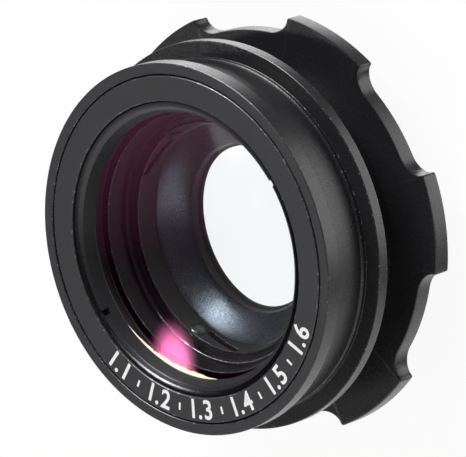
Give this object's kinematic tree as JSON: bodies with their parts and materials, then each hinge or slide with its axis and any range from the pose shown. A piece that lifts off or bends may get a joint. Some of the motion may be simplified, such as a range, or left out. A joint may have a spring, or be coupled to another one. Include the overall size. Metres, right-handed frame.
{
  "type": "camera eyepiece magnifier",
  "caption": "Round black aluminium zoom magnifier for a camera viewfinder: a scalloped ring turns on a fixed barrel and slides the camera-side lens along the axis.",
  "frame": {"origin": "on the optical axis, on the camera-side face that the part can stand on", "axes": "+Z along the optical axis towards the eye, -Y at the middle of the number arc on the name ring, +X to the right of it as the eye sees it"},
  "size_m": [0.046, 0.046, 0.0192],
  "materials": {
    "black_anodised": "fine blasted, black anodised aluminium, satin",
    "matte_black_metal": "matt black anodised aluminium",
    "coated_glass": "polished optical glass with a magenta and green anti-reflection coating",
    "steel": "bright steel",
    "brass": "plain turned brass",
    "nylon": "black nylon sheet"
  },
  "bodies": {
    "housing": {"barrel": "black_anodised", "eye_ring": "black_anodised", "name_ring": "black_anodised", "front_retaining_ring": "black_anodised", "eye_lens": "coated_glass", "lens_spacer": "matte_black_metal", "front_thrust_washer": "nylon", "rear_thrust_washer": "nylon", "rear_plate": "black_anodised", "rear_plate_screw_1": "steel", "rear_plate_screw_2": "steel", "rear_plate_screw_3": "steel"},
    "zoom_ring": {"zoom_ring": "black_anodised"},
    "lens_carrier": {"lens_carrier": "matte_black_metal", "carrier_lens": "coated_glass", "carrier_retaining_ring": "matte_black_metal", "cam_pin_1": "steel", "cam_pin_2": "steel", "cam_pin_3": "steel", "guide_bush_1": "brass", "guide_bush_2": "brass", "guide_bush_3": "brass"}
  },
  "joints": [
    {"name": "zoom_turn", "type": "hinge", "parent": "housing", "child": "zoom_ring", "pos_m": [0, 0, 0.0046], "axis": [0, 0, 1], "range_deg": [-37, 10]},
    {"name": "lens_travel", "type": "slide", "parent": "zoom_ring", "child": "lens_carrier", "axis": [0, 0, 1], "range_m": [-0.00222, 0.0006]}
  ],
  "couplings": [
    {"joint": "lens_travel", "follows": "zoom_turn", "m_per_rad": 0.0034377}
  ]
}
